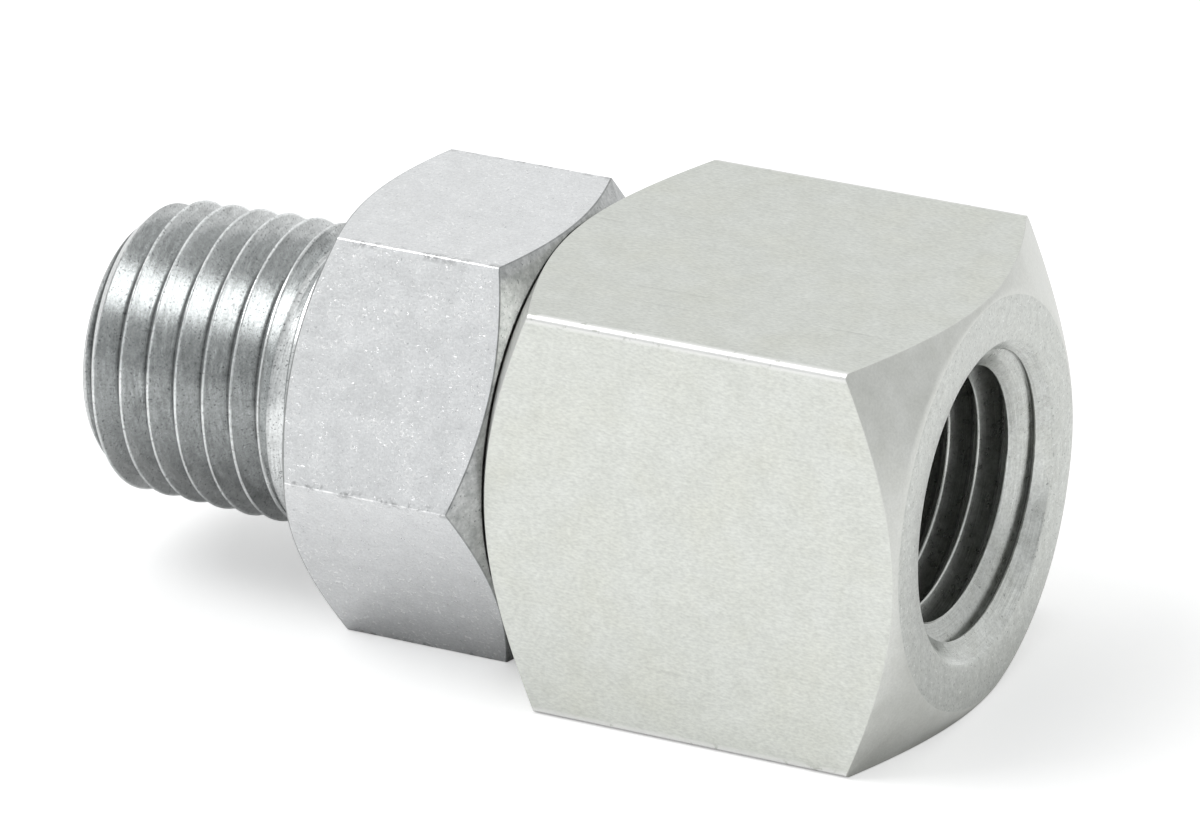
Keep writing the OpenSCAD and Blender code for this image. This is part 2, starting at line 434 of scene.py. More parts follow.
@dataclass
class Surface:
    """A finish in the making: its nodes, the place on the piece, and its colour and relief so far."""

    tree: Tree
    place: Socket
    colour: Socket
    height: Socket | float = 0.0

    def about_axis(self) -> tuple[Outputs, Socket, Socket]:
        """Measures the place about the swivel axis.

        Returns:
            The place's coordinates, its part across the axis and its distance from the axis.
        """
        xyz = add_node(self.tree, Node.SPLIT, self.place)
        across = add_node(self.tree, Node.JOIN, 0.0, xyz[1], xyz[2])[0]
        return xyz, across, add_node(self.tree, Node.VECTOR, across, operation="LENGTH")["Value"]

    def shade(self, tone: Socket) -> None:
        """Multiplies the colour by a tone."""
        scaled = add_node(self.tree, Node.VECTOR, self.colour, named={"Scale": tone}, operation="SCALE")
        self.colour = scaled[0]

    def shade_by(self, pattern: Socket, tone: float) -> None:
        """Makes the colour as much darker and lighter as a tone says, in a noise pattern."""
        self.shade(add_node(self.tree, Node.RANGE, pattern, NOISE_LOW, NOISE_HIGH, 1 - tone, 1 + tone)[0])

    def tint(self, share: Socket, hex_colour: str) -> None:
        """Turns a share of the colour into another."""
        inputs = {6: self.colour, 7: rgba(hex_colour)}
        self.colour = add_node(self.tree, Node.MIX, share, named=inputs, data_type="RGBA")[2]

    def lift(self, pattern: Socket, depth_mm: float) -> None:
        """Adds a pattern of a depth in millimetres to the relief."""
        depth = depth_mm * METRES
        self.height = add_node(
            self.tree, Node.MATH, pattern, depth, self.height, operation="MULTIPLY_ADD"
        )[0]

    def close(self, rough: Socket, **constants: float) -> None:
        """Ends the finish with its shader.

        Args:
            rough: Roughness over the surface.
            **constants: Values that are the same all over it.
        """
        relief = {"Strength": 1.0, "Distance": 1.0, "Height": self.height}
        bump = add_node(self.tree, Node.RELIEF, named=relief)["Normal"]
        inputs = {"Base Color": self.colour, "Roughness": rough, "Normal": bump, **constants}
        shader = add_node(self.tree, Node.SOLID, named=inputs)["BSDF"]
        add_node(self.tree, Node.MATERIAL_END, named={"Surface": shader})


@dataclass(frozen=True)
class ThreadHighlightAndShade:
    """Painted highlights on the crests and painted shade in the roots, by height above the thread's pitch
    cone.

    Bands are heights on the flank, from -1 at the root to 1 at the crest. No root shade is
    painted in a port's mouth, and the shallow last turn of a male thread is painted lighter.
    """

    thread: PipeThread
    crest_highlight_tone: float
    root_shade_tone: float
    mouth_mm: float = 0.0
    mouth_fade_mm: float = 0.1
    runout_mm: float = 0.0
    runout_fade_mm: float = 0.2
    runout_tone: float = 1.0
    crest_highlight_band: tuple[float, float] = (0.8, 0.93)
    root_shade_band: tuple[float, float] = (-0.97, -0.8)

    def show(self, surface: Surface) -> None:
        """Adds the painted crest highlights and root shade to a surface.

        Args:
            surface: Surface so far.
        """
        tree, thread = surface.tree, self.thread
        xyz, _, radius = surface.about_axis()
        axis_r = (thread.pitch_r - PIPE_TAPER * thread.open_x) * METRES
        cone = add_node(tree, Node.MATH, xyz[0], PIPE_TAPER, axis_r, operation="MULTIPLY_ADD")[0]
        above = add_node(tree, Node.MATH, radius, cone, operation="SUBTRACT")[0]
        reach = thread.side.value * thread.height / 2 * METRES
        level = add_node(tree, Node.RANGE, above, -reach, reach, -1.0, 1.0, clamp=False)[0]
        # Painted highlight on the crests and painted shade in the roots.
        crest = add_node(tree, Node.RANGE, level, *self.crest_highlight_band, 1.0, self.crest_highlight_tone)[0]
        root = add_node(tree, Node.RANGE, level, *self.root_shade_band, self.root_shade_tone, 1.0)[0]
        if self.mouth_mm > 0:
            inner = thread.place(self.mouth_mm + self.mouth_fade_mm) * METRES
            mouth = add_node(tree, Node.RANGE, xyz[0], inner, thread.place(self.mouth_mm) * METRES)[0]
            root = add_node(tree, Node.MATH, root, mouth, operation="MAXIMUM")[0]
        surface.shade(add_node(tree, Node.MATH, crest, root, operation="MULTIPLY")[0])
        if self.runout_mm > 0:
            first = thread.place(self.runout_mm) * METRES
            last = thread.place(self.runout_mm + self.runout_fade_mm) * METRES
            surface.shade(add_node(tree, Node.RANGE, xyz[0], first, last, 1.0, self.runout_tone)[0])


@dataclass(frozen=True)
class EdgeWearAndHighlight:
    """A bar's long edges painted brighter in places, as wear and as a painted highlight, with a smudge
    beside them.
    """

    sides: int
    first_corner: float
    width_mm: float
    bright: str
    share: float
    smudge_mm: float
    smudge_tone: float
    patch_mm: float = 0.6
    patch_seed: float = 1.9
    smudge_core: float = 0.25
    wear_and_highlight_core: float = 0.5
    smudge_band: tuple[float, float] = (0.5, 0.4)
    wear_and_highlight_band: tuple[float, float] = (0.62, 0.68)
    wear_and_highlight_gain: float = 0.3

    def show(self, surface: Surface) -> None:
        """Adds the edge wear, partly a painted highlight, to a surface.

        Args:
            surface: Surface so far.
        """
        tree = surface.tree
        xyz, _, radius = surface.about_axis()
        angle = add_node(tree, Node.MATH, xyz[2], xyz[1], operation="ARCTAN2")[0]
        angle = add_node(tree, Node.MATH, angle, self.first_corner, operation="SUBTRACT")[0]
        angle = add_node(tree, Node.MATH, angle, math.pi / self.sides, operation="PINGPONG")[0]
        away = add_node(tree, Node.MATH, angle, radius, operation="MULTIPLY")[0]
        size = per_metre(self.patch_mm)
        cells = {"Scale": size, "Detail": 3.0, "Roughness": 0.65, "W": self.patch_seed}
        patches = add_node(tree, Node.NOISE, surface.place, named=cells, noise_dimensions="4D")["Fac"]

        smudge = self.smudge_mm * METRES
        nicks = add_node(tree, Node.RANGE, patches, *self.smudge_band)[0]
        dark = add_node(tree, Node.RANGE, away, smudge, self.smudge_core * smudge)[0]
        dark = add_node(tree, Node.MATH, dark, nicks, operation="MULTIPLY")[0]
        surface.shade(add_node(tree, Node.RANGE, dark, 0.0, 1.0, 1.0, self.smudge_tone)[0])

        # Wear and painted highlight: the edge is tinted towards the bright colour in patches.
        width = self.width_mm * METRES
        start, full = (level - self.wear_and_highlight_gain * self.share for level in self.wear_and_highlight_band)
        here = add_node(tree, Node.RANGE, patches, start, full)[0]
        wear_and_highlight = add_node(tree, Node.RANGE, away, self.wear_and_highlight_core * width, width, 1.0, 0.0)[0]
        surface.tint(add_node(tree, Node.MATH, wear_and_highlight, here, operation="MULTIPLY")[0], self.bright)


@dataclass(frozen=True)
class ZincPlate:
    """Clear zinc electroplate on machined steel, with the marks of the surface under it.

    The plate gives the eye a pale, slightly milky metal. What was done to the steel
    before plating shows through as grain, glints, draw lines or turning marks; the glints are
    also whitened as painted glints. Depths and sizes are in millimetres. A tone is how much
    darker or lighter a mark is than the plate round it, and a share is the part of the surface that a mark
    takes.
    """

    name: str
    light: str
    dark: str
    stain: str
    roughness: float
    roughness_spread: float
    grain_mm: float
    grain_depth_mm: float
    mottle_mm: float
    grain_tone: float = 0.05
    grain_stretch: float = 1.0
    stain_share: float = 0.25
    stain_spread: float = 2.3
    sparkle_share: float = 0.0
    sparkle_mm: float = 0.12
    sparkle_depth_mm: float = 0.0
    # How far the crystals are whitened, as painted glints.
    painted_glint_white: float = 0.6
    sparkle_crowding: float = 0.3
    pit_share: float = 0.0
    pit_mm: float = 0.16
    pit: str = "#8A8C8B"
    pit_strength: float = 0.7
    draw_tone: float = 0.0
    draw_mm: float = 0.28
    draw_depth_mm: float = 0.0
    scratch: float = 0.0
    scratch_mm: float = 0.5
    turning_mm: float = 0.0
    turning_depth_mm: float = 0.0
    turning_tone: float = 0.06
    turning_breaks: float = 3.0
    turning_patch_mm: float = 2.2
    # Painted shade deeper in a port: where it begins and is full, and its colour factor.
    port_shade_depth_mm: float = 0.0
    port_shade_from_mm: float = 1.0
    port_shade_tone: float = 1.0
    # Colour factor of the painted shade at the bottom of the underside.
    painted_underside_shade: float = 1.0
    thread: ThreadHighlightAndShade | None = None
    edges: EdgeWearAndHighlight | None = None

    # A mark comes in over a band of noise levels, or over an edge above the level for its share.
    MOTTLE_BAND = (0.32, 0.68)
    STAIN_BAND = (0.45, 0.7)
    SCRATCH_BAND = (0.68, 0.76)
    PATCH_BAND = (0.4, 0.62)
    PATCH_LEAST = 0.25
    RING_BAND = (0.1, 0.6)
    RING_MIDDLE = 0.35
    PIT_EDGE = 0.06
    CRYSTAL_EDGE = 0.04
    # Draw lines and scratches are this share as fine along the bar as they are across it.
    LINE_SCALE = (0.035, 1.0, 1.0)
    SCRATCH_SCALE = (0.06, 1.0, 1.0)
    # Painted shade on the underside begins a little above the swivel axis and is full at 5 mm below it.
    UNDERSIDE_SHADE_BAND_MM = (0.5, -5.0)
    # Places along the noise's fourth axis, so that no two patterns coincide. That of the
    # pits is given for each millimetre of their size.
    STAIN_SEED = 3.7
    SCRATCH_SEED = 8.3
    CRYSTAL_SEED = 5.1
    PIT_SEED = 40

    def build(self) -> bpy.types.Material:
        """Builds the procedural material.

        Returns:
            The finished material.
        """
        material = bpy.data.materials.new(self.name)
        tree = cleared_tree(material)
        place = add_node(tree, Node.PLACE)["Object"]
        cells = {"Scale": per_metre(self.mottle_mm), "Detail": 5.0, "Roughness": 0.6}
        mottle = add_node(tree, Node.NOISE, place, named=cells)["Fac"]
        light = add_node(tree, Node.RANGE, mottle, *self.MOTTLE_BAND)[0]
        pair = {6: rgba(self.dark), 7: rgba(self.light)}
        surface = Surface(tree, place, add_node(tree, Node.MIX, light, named=pair, data_type="RGBA")[2])
        self._stain(surface)
        self._grain(surface)
        if self.draw_tone > 0:
            self._draw_lines(surface)
        if self.scratch > 0:
            self._scratches(surface)
        if self.turning_mm > 0:
            self._turning(surface)
        if self.port_shade_depth_mm > 0:
            self._paint_shade_deep_down(surface)
        if self.painted_underside_shade < 1:
            self._paint_shade_below(surface)
        if self.thread is not None:
            self.thread.show(surface)
        if self.edges is not None:
            self.edges.show(surface)
        if self.pit_share > 0:
            self._pits(surface)
        if self.sparkle_share > 0:
            self._sparkle(surface, mottle)
        smooth, rough = self.roughness - self.roughness_spread, self.roughness + self.roughness_spread
        gloss = add_node(tree, Node.RANGE, mottle, NOISE_LOW, NOISE_HIGH, smooth, rough)[0]
        surface.close(gloss, Metallic=1.0)
        return material

    def _stain(self, surface: Surface) -> None:
        """Adds the faint drying stains of the plating bath.

        Args:
            surface: Surface so far.
        """
        tree = surface.tree
        size = per_metre(self.mottle_mm * self.stain_spread)
        cells = {"W": self.STAIN_SEED, "Scale": size, "Detail": 3.0}
        stain = add_node(tree, Node.NOISE, surface.place, named=cells, noise_dimensions="4D")["Fac"]
        shown = add_node(tree, Node.RANGE, stain, *self.STAIN_BAND, 0.0, self.stain_share)[0]
        surface.tint(shown, self.stain)

    def _grain(self, surface: Surface) -> None:
        """Adds the grain of plate and steel, longer along a drawn bar.

        Args:
            surface: Surface so far.
        """
        stretch = {"Scale": (1 / self.grain_stretch, 1.0, 1.0)}
        drawn_out = add_node(surface.tree, Node.STRETCH, surface.place, named=stretch)[0]
        cells = {"Scale": per_metre(self.grain_mm), "Detail": 3.0, "Roughness": 0.65}
        grain = add_node(surface.tree, Node.NOISE, drawn_out, named=cells)["Fac"]
        surface.lift(grain, self.grain_depth_mm)
        surface.shade_by(grain, self.grain_tone)

    def _draw_lines(self, surface: Surface) -> None:
        """Adds the long faint lines that a drawing die leaves along a bar.

        Args:
            surface: Surface so far.
        """
        drawn_out = {"Scale": self.LINE_SCALE}
        along = add_node(surface.tree, Node.STRETCH, surface.place, named=drawn_out)[0]
        cells = {"Scale": per_metre(self.draw_mm), "Detail": 4.0, "Roughness": 0.7}
        lines = add_node(surface.tree, Node.NOISE, along, named=cells)["Fac"]
        surface.shade_by(lines, self.draw_tone)
        surface.lift(lines, self.draw_depth_mm)

    def _scratches(self, surface: Surface) -> None:
        """Adds a few short dark scratches along the bar.

        Args:
            surface: Surface so far.
        """
        tree = surface.tree
        along = add_node(tree, Node.STRETCH, surface.place, named={"Scale": self.SCRATCH_SCALE})[0]
        cells = {"Scale": per_metre(self.scratch_mm), "Detail": 1.0, "W": self.SCRATCH_SEED}
        marks = add_node(tree, Node.NOISE, along, named=cells, noise_dimensions="4D")["Fac"]
        surface.shade(add_node(tree, Node.RANGE, marks, *self.SCRATCH_BAND, 1.0, 1 - self.scratch)[0])

    def _turning(self, surface: Surface) -> None:
        """Adds the fine rings that a lathe tool leaves about the swivel axis.

        Args:
            surface: Surface so far.
        """
        tree = surface.tree
        xyz, across, radius = surface.about_axis()
        feed = add_node(tree, Node.MATH, radius, xyz[0], operation="ADD")[0]
        feed = add_node(tree, Node.MATH, feed, per_metre(self.turning_mm), operation="MULTIPLY")[0]
        around = add_node(tree, Node.VECTOR, across, operation="NORMALIZE")[0]
        breaks = {"Scale": self.turning_breaks}
        around = add_node(tree, Node.VECTOR, around, named=breaks, operation="SCALE")[0]
        cells = {"W": feed, "Scale": 1.0, "Detail": 2.0, "Roughness": 0.6}
        rings = add_node(tree, Node.NOISE, around, named=cells, noise_dimensions="4D")["Fac"]
        cells = {"Scale": per_metre(self.turning_patch_mm), "Detail": 2.0}
        patch = add_node(tree, Node.NOISE, surface.place, named=cells)["Fac"]
        shown = add_node(tree, Node.RANGE, patch, *self.PATCH_BAND, self.PATCH_LEAST, 1.0)[0]
        rings = add_node(tree, Node.MATH, rings, NOISE_MIDDLE, operation="SUBTRACT")[0]
        rings = add_node(tree, Node.MATH, rings, shown, self.RING_MIDDLE, operation="MULTIPLY_ADD")[0]
        dark, light = 1 - self.turning_tone, 1 + self.turning_tone
        surface.shade(add_node(tree, Node.RANGE, rings, *self.RING_BAND, light, dark)[0])
        surface.lift(rings, self.turning_depth_mm)

    def _paint_shade_deep_down(self, surface: Surface) -> None:
        """Paints shade into a port, darker with depth.

        Args:
            surface: Surface so far.
        """
        first, last = -self.port_shade_from_mm * METRES, -self.port_shade_depth_mm * METRES
        along = add_node(surface.tree, Node.SPLIT, surface.place)[0]
        surface.shade(add_node(surface.tree, Node.RANGE, along, first, last, 1.0, self.port_shade_tone)[0])

    def _paint_shade_below(self, surface: Surface) -> None:
        """Paints shade on the lower side, darker towards the bottom.

        Args:
            surface: Surface so far.
        """
        top, bottom = (height_mm * METRES for height_mm in self.UNDERSIDE_SHADE_BAND_MM)
        up = add_node(surface.tree, Node.SPLIT, surface.place)[2]
        surface.shade(add_node(surface.tree, Node.RANGE, up, top, bottom, 1.0, self.painted_underside_shade)[0])

    def _pits(self, surface: Surface) -> None:
        """Scatters small dark pits.

        Args:
            surface: Surface so far.
        """
        tree = surface.tree
        level = noise_level(self.pit_share)
        seed = self.PIT_SEED * self.pit_mm
        cells = {"W": seed, "Scale": per_metre(self.pit_mm), "Detail": 1.5, "Roughness": 0.6}
        specks = add_node(tree, Node.NOISE, surface.place, named=cells, noise_dimensions="4D")["Fac"]
        band = level, level + self.PIT_EDGE
        shown = add_node(tree, Node.RANGE, specks, *band, 0.0, self.pit_strength)[0]
        surface.tint(shown, self.pit)

    def _sparkle(self, surface: Surface, crowd: Socket) -> None:
        """Raises crystals whose sides catch the lamp, as blasted steel has under its plate, and whitens
        them as painted glints.

        Args:
            surface: Surface so far.
            crowd: Pattern that gathers the crystals in patches.
        """
        tree = surface.tree
        level = noise_level(self.sparkle_share) + self.sparkle_crowding * NOISE_MIDDLE
        size = per_metre(self.sparkle_mm)
        cells = {"W": self.CRYSTAL_SEED, "Scale": size, "Detail": 1.0, "Roughness": 0.5}
        grains = add_node(tree, Node.NOISE, surface.place, named=cells, noise_dimensions="4D")["Fac"]
        weight = self.sparkle_crowding
        gathered = add_node(tree, Node.MATH, crowd, weight, grains, operation="MULTIPLY_ADD")[0]
        crystal = add_node(tree, Node.RANGE, gathered, level, level + self.CRYSTAL_EDGE)[0]
        # Painted glints: the crystals are tinted towards white as well as raised.
        bright = add_node(tree, Node.MATH, crystal, self.painted_glint_white, operation="MULTIPLY")[0]
        surface.tint(bright, "#FFFFFF")
        surface.lift(crystal, self.sparkle_depth_mm)


@dataclass(frozen=True)
class PlainFinish:
    """A simple solid such as rubber, PTFE, oxide black or polished ball steel.

    A fine grain in its colour, gloss and relief keeps it from looking like a flat fill.
    """

    name: str
    light: str
    dark: str
    metallic: float
    roughness: float
    grain_mm: float
    grain_depth_mm: float
    ior: float = 1.5
    gloss_spread: float = 0.15
    grain_band: tuple[float, float] = (0.35, 0.65)

    def build(self) -> bpy.types.Material:
        """Builds the procedural material.

        Returns:
            The finished material.
        """
        material = bpy.data.materials.new(self.name)
        tree = cleared_tree(material)
        place = add_node(tree, Node.PLACE)["Object"]
        cells = {"Scale": per_metre(self.grain_mm), "Detail": 3.0}
        grain = add_node(tree, Node.NOISE, place, named=cells)["Fac"]
        light = add_node(tree, Node.RANGE, grain, *self.grain_band)[0]
        pair = {6: rgba(self.dark), 7: rgba(self.light)}
        surface = Surface(tree, place, add_node(tree, Node.MIX, light, named=pair, data_type="RGBA")[2])
        surface.lift(grain, self.grain_depth_mm)
        smooth, rough = (self.roughness * (1 + way * self.gloss_spread) for way in (-1, 1))
        gloss = add_node(tree, Node.RANGE, grain, NOISE_LOW, NOISE_HIGH, smooth, rough)[0]
        if self.metallic < 1:
            surface.close(gloss, Metallic=self.metallic, IOR=self.ior)
        else:
            surface.close(gloss, Metallic=self.metallic)
        return material


def eased(corners: list[Triple], steps: int = 3, most: float = 0.42) -> Line:
    """Rounds the corners of a line.

    Args:
        corners: Points of the line, each with the length that its rounding takes from
            both of its sides. A length of 0 leaves the corner sharp.
        steps: Segments in each rounding.
        most: Share of a side that one rounding may take.

    Returns:
        Points of the rounded line.
    """
    points: Line = []
    for i, (x, r, size) in enumerate(corners):
        if size <= 0:
            points.append((x, r))
            continue
        here = np.array([x, r])
        back = np.array(corners[i - 1][:2]) - here
        ahead = np.array(corners[i + 1][:2]) - here
        reach = min(size, most * float(np.hypot(*back)), most * float(np.hypot(*ahead)))
        start = here + back / np.hypot(*back) * reach
        end = here + ahead / np.hypot(*ahead) * reach
        for t in np.linspace(0, 1, steps + 1):
            p = (1 - t) ** 2 * start + 2 * t * (1 - t) * here + t**2 * end
            points.append((float(p[0]), float(p[1])))
    return points


def groove_arc(race: Triple, wall_r: float, side: Side, points: int = 15) -> Line:
    """Gives the arc that the ball race cuts into a cylindrical wall, from +X to -X.

    Args:
        race: The race's place along the axis, the radius of the ball circle and that of the groove.
        wall_r: Radius of the wall.
        side: Side of the wall that the metal is on.
        points: Number of points on the arc.

    Returns:
        Points along the arc.
    """
    place_x, circle_r, groove_r = race
    outward = -side.value
    start = math.asin(outward * (wall_r - circle_r) / groove_r)
    return [
        (place_x + groove_r * math.cos(a), circle_r + outward * groove_r * math.sin(a))
        for a in np.linspace(start, math.pi - start, points)
    ]


class Turning:
    """A closed mesh built from one section line at each angle about the swivel axis."""

    MERGE_MM = 0.0002

    def __init__(self, name: str, angles: np.ndarray) -> None:
        """Starts an empty turning.

        Args:
            name: Name of the piece.
            angles: Angles of the sections.
        """
        self.name = name
        self.angles = angles
        self.sections: list[Line] = []
        self.zones: list[IntEnum] = []
        self.thread_span = (0, 0)
        self.thread_shift = 0

    def add(self, parts: list[tuple[IntEnum, Line]]) -> None:
        """Adds the section at the next angle.

        Args:
            parts: Stretches of the section in order, each with its zone.
        """
        self.sections.append([point for _, line in parts for point in line])
        self.zones = [zone for zone, line in parts for _ in line]

    def mark_thread(self, before: int, rows: int, shift: int) -> None:
        """Says which rows of the section are the thread.

        Args:
            before: Number of rows before the thread.
            rows: Number of the thread's rows.
            shift: Rows by which the helix has moved on after a full turn.
        """
        self.thread_span = (before, before + rows - 1)
        self.thread_shift = shift

    def build(self, zones: type[IntEnum], finishes: Finishes) -> bpy.types.Object:
        """Joins the sections into a mesh object.

        Args:
            zones: Zones of the section, named as their finishes.
            finishes: Materials by name.

        Returns:
            The object, linked to the scene.
        """
        rows = len(self.sections[0])
        first, end = self.thread_span
        mesh = bmesh.new()
        grid = []
        for angle, section in zip(self.angles, self.sections):
            y, z = math.cos(angle) * METRES, math.sin(angle) * METRES
            grid.append([mesh.verts.new((x * METRES, r * y, r * z)) for x, r in section])
        for i, column in enumerate(grid):
            last = i == len(grid) - 1
            ahead = grid[(i + 1) % len(grid)]
            for j in range(rows):
                a, b = j, (j + 1) % rows
                if last and first <= j < end:
                    a = min(max(j + self.thread_shift, first), end)
                    b = min(max(j + 1 + self.thread_shift, first), end)
                corners = list(dict.fromkeys([column[j], column[(j + 1) % rows], ahead[b], ahead[a]]))
                if len(corners) >= 3:
                    mesh.faces.new(corners).material_index = self.zones[j].value
        bmesh.ops.remove_doubles(mesh, verts=mesh.verts, dist=self.MERGE_MM * METRES)
        bmesh.ops.recalc_face_normals(mesh, faces=mesh.faces)
        data = bpy.data.meshes.new(self.name)
        mesh.to_mesh(data)
        mesh.free()
        for zone in zones:
            data.materials.append(finishes[zone.name.lower()])
        piece = bpy.data.objects.new(self.name, data)
        bpy.context.scene.collection.objects.link(piece)
        return piece


def drill(piece: bpy.types.Object, radius: float, start: Vector, end: Vector, zone: IntEnum) -> None:
    """Drills a round hole into a piece.

    Args:
        piece: Mesh object to drill.
        radius: Radius of the hole in millimetres.
        start: One end of the drill, in millimetres.
        end: Other end of the drill, in millimetres.
        zone: Zone whose finish the hole's wall takes.
    """
    mesh = bmesh.new()
    turn = (end - start).to_track_quat("Z", "Y").to_matrix().to_4x4()
    bmesh.ops.create_cone(
        mesh,
        cap_ends=True,
        segments=DRILL_SEGMENTS,
        radius1=radius * METRES,
        radius2=radius * METRES,
        depth=(end - start).length * METRES,
        matrix=Matrix.Translation((start + end) / 2 * METRES) @ turn,
    )
    for face in mesh.faces:
        face.material_index = zone.value
    data = bpy.data.meshes.new("drill")
    mesh.to_mesh(data)
    mesh.free()
    for material in piece.data.materials:
        data.materials.append(material)
    cutter = bpy.data.objects.new("drill", data)
    bpy.context.scene.collection.objects.link(cutter)
    modifier = piece.modifiers.new("drilled", "BOOLEAN")
    modifier.operation = "DIFFERENCE"
    modifier.solver = "EXACT"
    modifier.object = cutter
    graph = bpy.context.evaluated_depsgraph_get()
    made = bpy.data.meshes.new_from_object(piece.evaluated_get(graph))
    piece.modifiers.clear()
    piece.data = made
    bpy.data.objects.remove(cutter)


def settle_normals(
    piece: bpy.types.Object, thread_zone: IntEnum, sharp_deg: float = 34, thread_deg: float = 9
) -> None:
    """Marks real corners sharp and lets each large face keep its own normal.

    Args:
        piece: Mesh object to treat.
        thread_zone: Zone of the thread, whose flanks keep their exact slope.
        sharp_deg: Angle between faces above which an edge stays sharp.
        thread_deg: The same for edges within the thread.
    """
    piece.data.shade_smooth()
    piece.data.set_sharp_from_angle(angle=math.radians(sharp_deg))
    shape = bmesh.new()
    shape.from_mesh(piece.data)
    limit = math.radians(thread_deg)
    for edge in shape.edges:
        sides = edge.link_faces
        if len(sides) == 2 and all(f.material_index == thread_zone.value for f in sides):
            if edge.calc_face_angle() > limit:
                edge.smooth = False
    shape.to_mesh(piece.data)
    shape.free()
    modifier = piece.modifiers.new("face_weighted_normals", "WEIGHTED_NORMAL")
    modifier.mode = "FACE_AREA"
    modifier.keep_sharp = True


@dataclass
class SwivelHousing:
    """The square housing: a tapped port in front, the swivel's bore and ball race behind."""

    columns: int = 264
    edge_steps: int = 4
    edge_r: float = 0.3
    chamfer_inset: float = 0.225
    chamfer_deg: float = 30.0
    pitch_r: float = 12.487 / 2
    tap_drill_r: float = 11.11 / 2
    mouth_r: float = 7.198
    port_depth: float = 11.2
    port_plain: float = 1.2
    port_end: float = 0.3
    first_root: float = 0.82
    bore_r: float = 6.35
    race_clearance: float = 0.03
    dust_gap: float = 0.12
    edge_break: float = 0.03
    face_break: float = 0.3
    plug_gap: float = 0.02
    drill_from_r: float = 5.4
    drill_past: float = 1.0

    def thread(self) -> PipeThread:
        """Gives the port's thread."""
        return PipeThread(
            side=Side.INSIDE,
            open_x=float(node_box("swivel_housing")[1][0]),
            pitch_r=self.pitch_r,
            wall_r=self.tap_drill_r,
            entry_r=self.mouth_r,
            length=self.port_depth - self.port_end,
            full_length=self.port_depth - self.port_plain - PITCH,
            first_root=self.first_root,
        )

    def build(self, finishes: Finishes) -> bpy.types.Object:
        """Builds and dresses the housing.

        Args:
            finishes: Materials by name.

        Returns:
            The finished piece.
        """
        low, high = node_box("swivel_housing")
        dust_high = node_box("dust_ring")[1]
        back_x, front_x, flat_r = float(low[0]), float(high[0]), float(high[2])
        recess_x = float(dust_high[0]) + self.dust_gap
        recess_r = float(dust_high[1]) + self.dust_gap
        cavity_x = front_x - self.port_depth
        ring_r = flat_r - self.chamfer_inset
        slope = math.tan(math.radians(self.chamfer_deg))
        bar = BarOutline(4, flat_r, self.edge_r, math.pi / 4)
        thread = self.thread()
        turning = Turning("swivel_housing_dressed", bar.angles(self.columns, self.edge_steps))
        race = ball_race(self.race_clearance)
        arc = groove_arc(race, self.bore_r, Side.INSIDE)
        for angle in turning.angles:
            r = bar.radius(angle)
            drop = (r - ring_r) * slope
            outside = eased(
                [
                    (back_x, recess_r, 0),
                    (back_x, ring_r, self.edge_break),
                    (back_x + drop, r, self.edge_break),
                    (front_x - drop, r, self.edge_break),
                    (front_x, ring_r, self.face_break),
                    (front_x, self.mouth_r + thread.start, 0),
                ]
            )
            split = len(outside) // 2
            port = thread.rows(angle)
            turning.add(
                [
                    (HousingZone.TURNED_CHAMFER, outside[: split - 1]),
                    (HousingZone.DRAWN_BAR, outside[split - 1 : split]),
                    (HousingZone.TURNED_CHAMFER, outside[split:-3]),
                    (HousingZone.FACED_RING, outside[-3:]),
                    (HousingZone.TAPPED_PORT, port + [(cavity_x, self.tap_drill_r)]),
                    (HousingZone.RUNNING_SURFACE, [(cavity_x, self.bore_r), *arc]),
                    (HousingZone.RUNNING_SURFACE, [(recess_x, self.bore_r), (recess_x, recess_r)]),
                ]
            )
        turning.mark_thread(len(outside), len(port), -thread.points_per_turn)
        piece = turning.build(HousingZone, finishes)
        self._drill_ball_port(piece, race[0], flat_r)
        settle_normals(piece, HousingZone.TAPPED_PORT)
        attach(piece, "housing")
        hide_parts("swivel_housing")
        return piece

    def _drill_ball_port(self, piece: bpy.types.Object, race_x: float, flat_r: float) -> None:
        """Drills the hole that the balls are loaded through, round its set screw.

        Args:
            piece: The housing.
            race_x: Place of the ball race along the axis.
            flat_r: Distance of the bar's flats from the axis.
        """
        low, high = node_box("ball_port_plug")
        hole_r = float(high[0] - low[0]) / 2 + self.plug_gap
        start = Vector((race_x, self.drill_from_r, 0))
        end = Vector((race_x, flat_r + self.drill_past, 0))
        drill(piece, hole_r, start, end, HousingZone.RUNNING_SURFACE)


